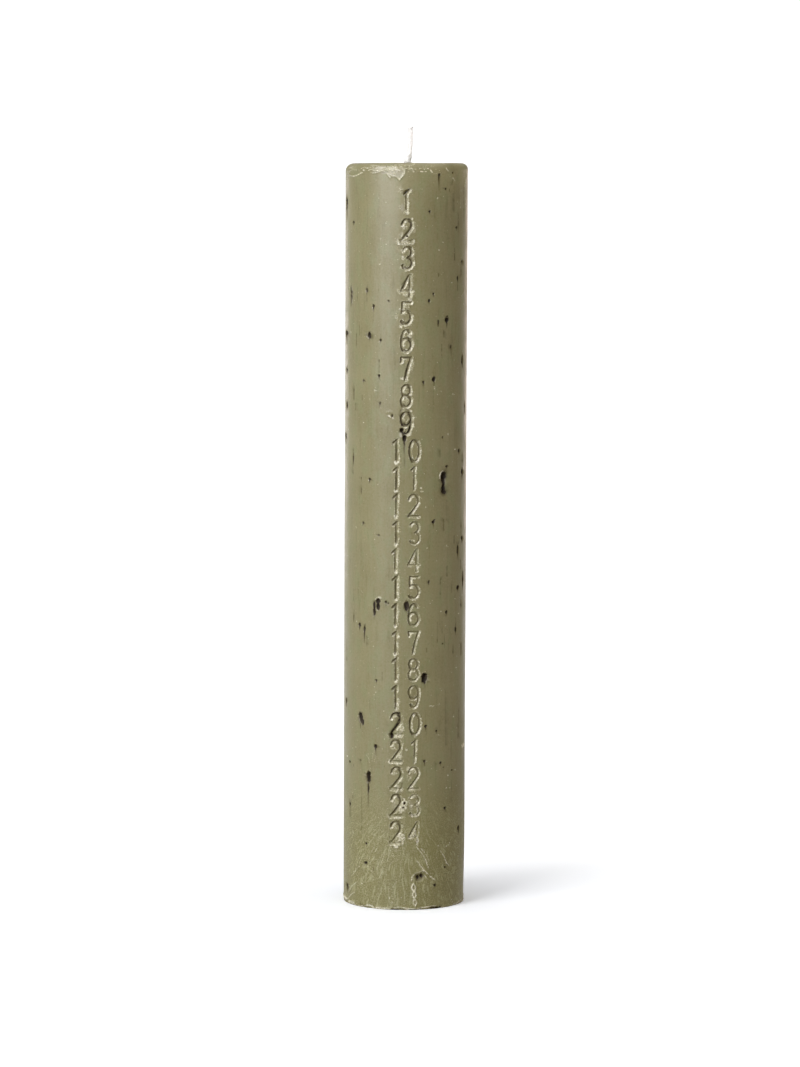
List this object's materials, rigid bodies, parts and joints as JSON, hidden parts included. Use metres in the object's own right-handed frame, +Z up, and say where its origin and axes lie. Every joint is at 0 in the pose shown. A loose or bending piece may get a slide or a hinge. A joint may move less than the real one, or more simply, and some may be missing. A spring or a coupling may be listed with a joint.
{
  "type": "calendar candle",
  "caption": "Tall round pillar candle with the days of a month's calendar pressed into its front in one column, with a braided wick and a metal sustainer.",
  "frame": {"origin": "centre of the foot, on the surface that the candle stands on", "axes": "+Z up the pillar's axis to the wick's tip, -Y the side that the numbers face, +X to the right of someone who reads them"},
  "size_m": [0.049, 0.049, 0.315],
  "materials": {
    "wax": "satin olive-grey wax, dyed through, with pits, pale chips and frosting",
    "wick_cotton": "braided cotton, waxed",
    "tinned_steel": "tinned sheet steel"
  },
  "bodies": {
    "root": {"wax_pillar": "wax", "wick_strand_1": "wick_cotton", "wick_strand_2": "wick_cotton", "wick_strand_3": "wick_cotton", "wick_sustainer": "tinned_steel"}
  },
  "joints": []
}
